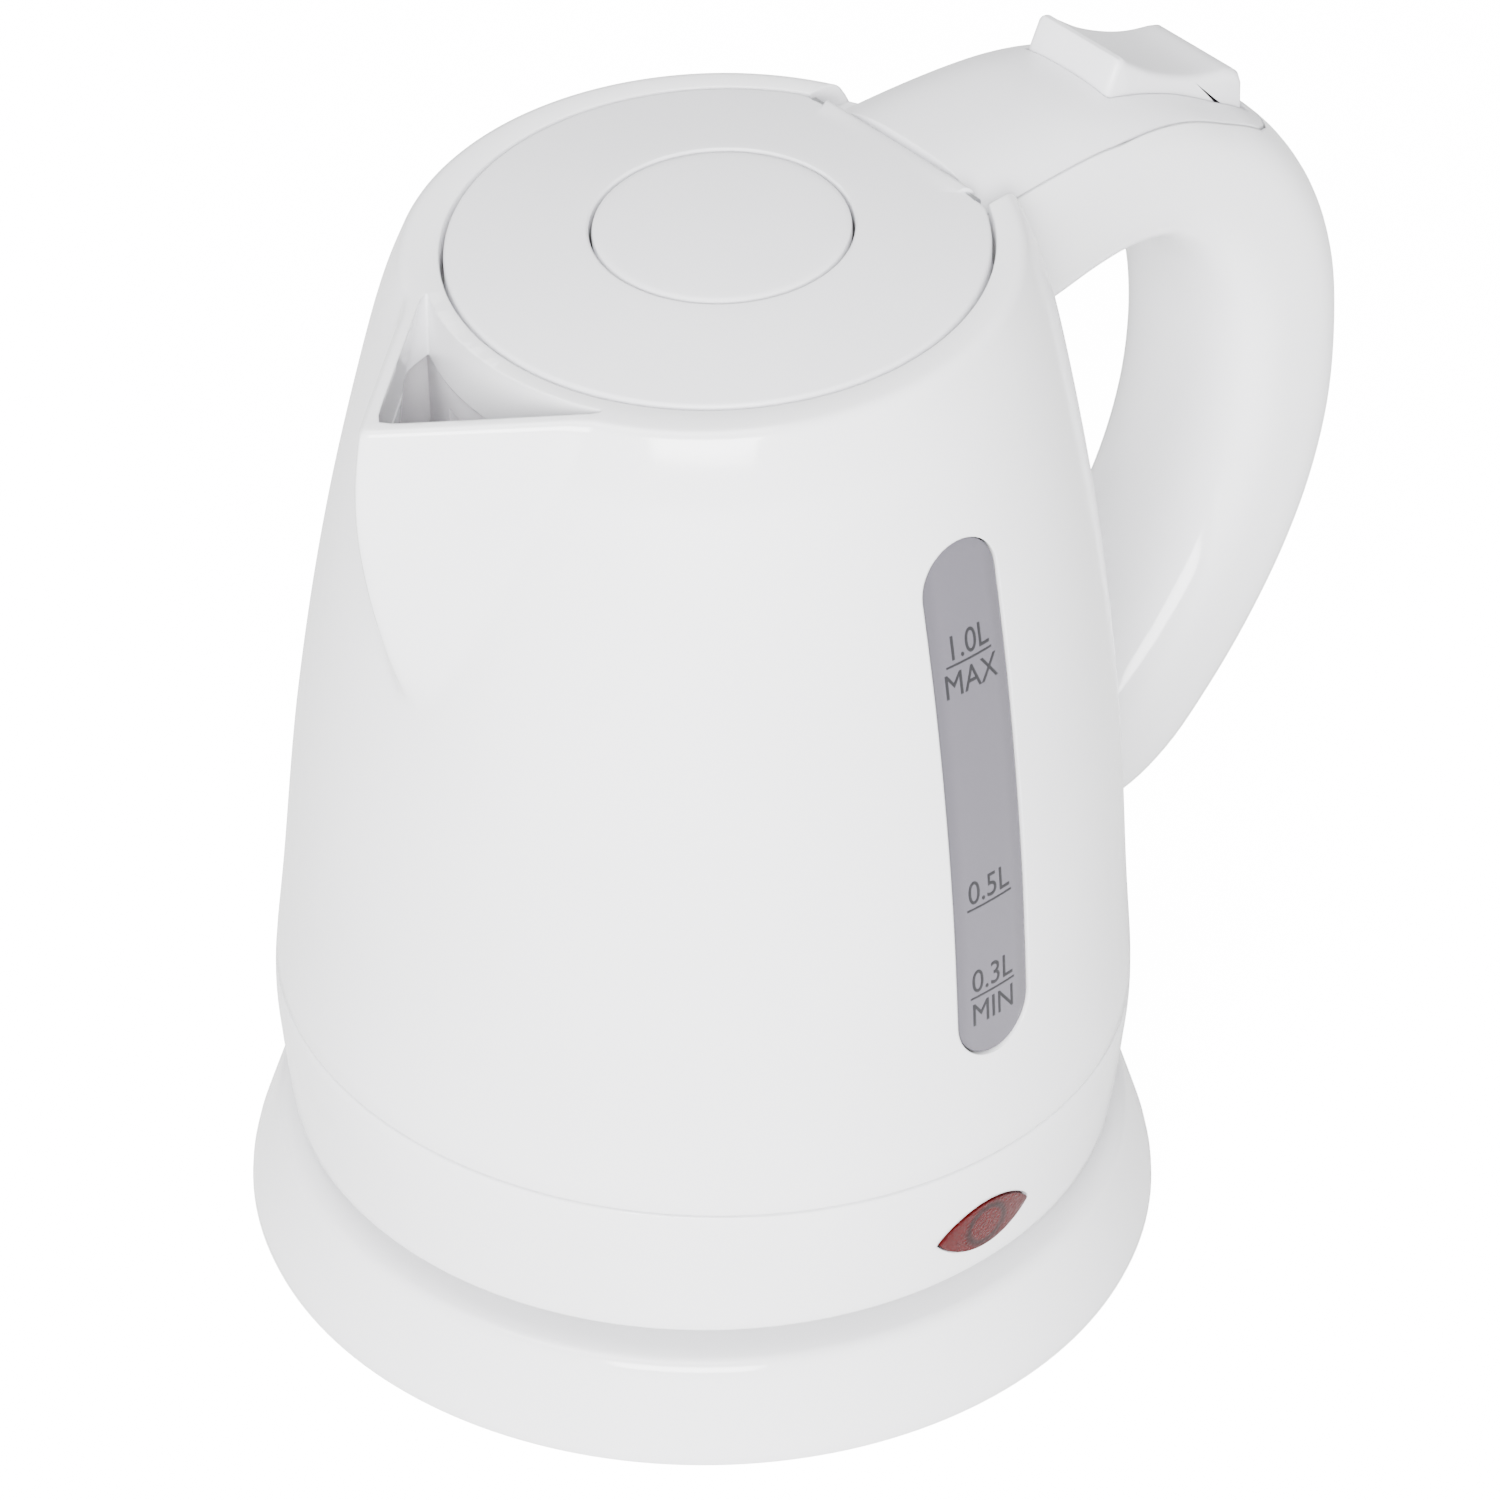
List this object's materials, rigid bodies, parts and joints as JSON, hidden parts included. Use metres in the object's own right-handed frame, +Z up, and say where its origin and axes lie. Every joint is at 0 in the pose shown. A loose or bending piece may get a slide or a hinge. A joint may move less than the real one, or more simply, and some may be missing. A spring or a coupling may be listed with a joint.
{
  "type": "electric kettle",
  "caption": "Cordless jug kettle with loop handle, rocker switch, push-button hinged lid, side water gauge and a round swivel power base.",
  "frame": {"origin": "on the swivel axis, on the flat underside of the base's hub, which is the surface that the base stands on", "axes": "+Z up, +X towards the handle, -X towards the spout, -Y towards the water gauge and the indicator lens"},
  "size_m": [0.2014, 0.148, 0.1883],
  "materials": {
    "white_gloss": "gloss white polypropylene",
    "white_satin": "satin white, fine moulded texture",
    "inner_plastic": "unpolished light grey moulding",
    "gauge_clear": "translucent grey",
    "filter_clear": "translucent, slightly milky",
    "red_lens": "translucent red",
    "lamp_glass": "clear glass neon lamp",
    "dark_plastic": "black glass-filled nylon",
    "rubber_grey": "matt silicone",
    "steel": "plain steel",
    "brass": "plain brass contact",
    "gauze": "fine nylon mesh",
    "wire_red": "silicone insulation"
  },
  "bodies": {
    "power_base": {"base_bottom_cover": "inner_plastic", "base_foot_1": "rubber_grey", "base_foot_2": "rubber_grey", "base_foot_3": "rubber_grey", "base_housing": "white_gloss", "base_screw_1": "steel", "base_screw_2": "steel", "base_screw_3": "steel", "base_socket": "dark_plastic", "cord_gland": "dark_plastic", "shutter_spring": "steel", "socket_earth_contact": "brass", "socket_inner_contact": "brass", "socket_outer_contact": "brass"},
    "kettle": {"bimetal_disc_1": "steel", "bimetal_disc_2": "steel", "body_shell": "white_gloss", "bottom_closure": "inner_plastic", "closure_screw_1": "steel", "closure_screw_2": "steel", "closure_screw_3": "steel", "connector_earth_pin": "brass", "connector_inner_ring": "brass", "connector_outer_ring": "brass", "control_module": "dark_plastic", "handle_screw_1": "steel", "handle_screw_2": "steel", "handle_shell": "white_gloss", "handle_top_cover": "white_satin", "heating_element": "steel", "heating_plate": "steel", "indicator_lens": "red_lens", "kettle_connector": "dark_plastic", "lamp_holder": "dark_plastic", "lid_hinge_pin": "steel", "lower_ring": "white_gloss", "neon_lamp": "lamp_glass", "plate_clamp_ring": "inner_plastic", "plate_seal": "rubber_grey", "rocker_pin": "steel", "spout_filter_frame": "filter_clear", "spout_filter_mesh": "gauze", "steam_bimetal": "steel", "steam_switch_body": "dark_plastic", "switch_lead_1": "wire_red", "switch_lead_2": "wire_red", "water_gauge_window": "gauge_clear"},
    "lid": {"button_spring": "steel", "lid_cover": "white_satin", "lid_inner_plate": "inner_plastic", "lid_screw_1": "steel", "lid_screw_2": "steel", "lid_screw_3": "steel", "lid_seal": "rubber_grey"},
    "latch_left": {"latch_bolt_left": "inner_plastic"},
    "latch_right": {"latch_bolt_right": "inner_plastic"},
    "lid_button": {"lid_button": "white_satin"},
    "connector_shutter": {"socket_shutter": "inner_plastic"},
    "rocker": {"switch_rocker": "white_satin"},
    "trip_lever": {"trip_lever": "inner_plastic"}
  },
  "joints": [
    {"name": "kettle_swivel", "type": "hinge", "parent": "power_base", "child": "connector_shutter", "pos_m": [0, 0, 0.02], "axis": [0, 0, 1], "continuous": true},
    {"name": "kettle_lift", "type": "slide", "parent": "connector_shutter", "child": "kettle", "axis": [0, 0, 1], "range_m": [0, 0.06]},
    {"name": "lid_hinge", "type": "hinge", "parent": "kettle", "child": "lid", "pos_m": [0.03838, 0, 0.18331], "axis": [0, 1, 0], "range_deg": [0, 75]},
    {"name": "lid_button_press", "type": "slide", "parent": "lid", "child": "lid_button", "axis": [0.045, 0, -0.999], "range_m": [0, 0.003], "stiffness_N_per_m": 300, "deforming": ["button_spring"]},
    {"name": "latch_left_slide", "type": "slide", "parent": "lid", "child": "latch_left", "axis": [0, 1, 0], "range_m": [-0.003, 0]},
    {"name": "latch_right_slide", "type": "slide", "parent": "lid", "child": "latch_right", "axis": [0, 1, 0], "range_m": [0, 0.003]},
    {"name": "rocker_tilt", "type": "hinge", "parent": "kettle", "child": "rocker", "pos_m": [0.089, 0, 0.169], "axis": [0, 1, 0], "range_deg": [0, 8]},
    {"name": "trip_lever_turn", "type": "hinge", "parent": "kettle", "child": "trip_lever", "pos_m": [0.078, 0, 0.1686], "axis": [0, 1, 0], "range_deg": [-9.6, 0]}
  ],
  "couplings": [
    {"joint": "latch_left_slide", "follows": "lid_button_press", "ratio": -1},
    {"joint": "latch_right_slide", "follows": "lid_button_press", "ratio": 1},
    {"joint": "trip_lever_turn", "follows": "rocker_tilt", "ratio": -1.2}
  ]
}
